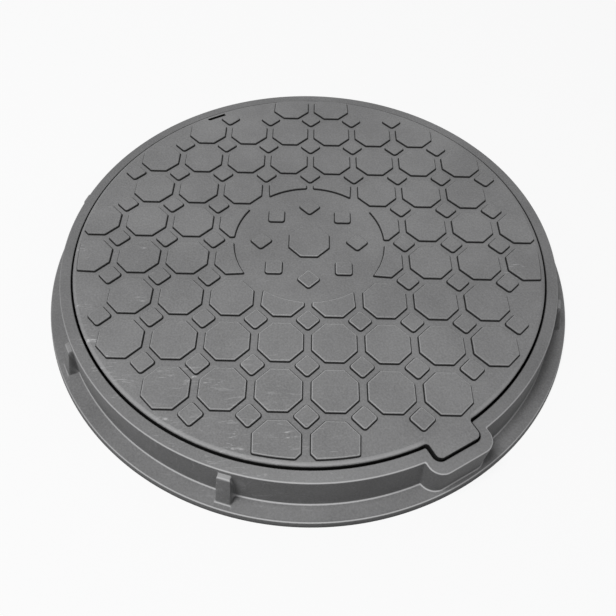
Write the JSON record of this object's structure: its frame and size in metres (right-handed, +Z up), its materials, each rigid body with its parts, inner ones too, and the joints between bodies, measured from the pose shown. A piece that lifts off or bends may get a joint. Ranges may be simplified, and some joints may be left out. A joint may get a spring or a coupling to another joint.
{
  "type": "septic tank cover",
  "caption": "Round plastic access cover: a flanged frame with outside lugs holds a loose lid with an octagon-and-square tread, an edge tab in a pocket and a pry slot.",
  "frame": {"origin": "middle of the frame's flat underside, on the cover's axis", "axes": "+Z up out of the ground along the cover's axis, +X towards the lid's tab"},
  "size_m": [0.7312, 0.7312, 0.067],
  "materials": {
    "frame_plastic": "matte",
    "lid_plastic": "matte"
  },
  "bodies": {
    "root": {"frame": "frame_plastic", "lid": "lid_plastic"}
  },
  "joints": []
}
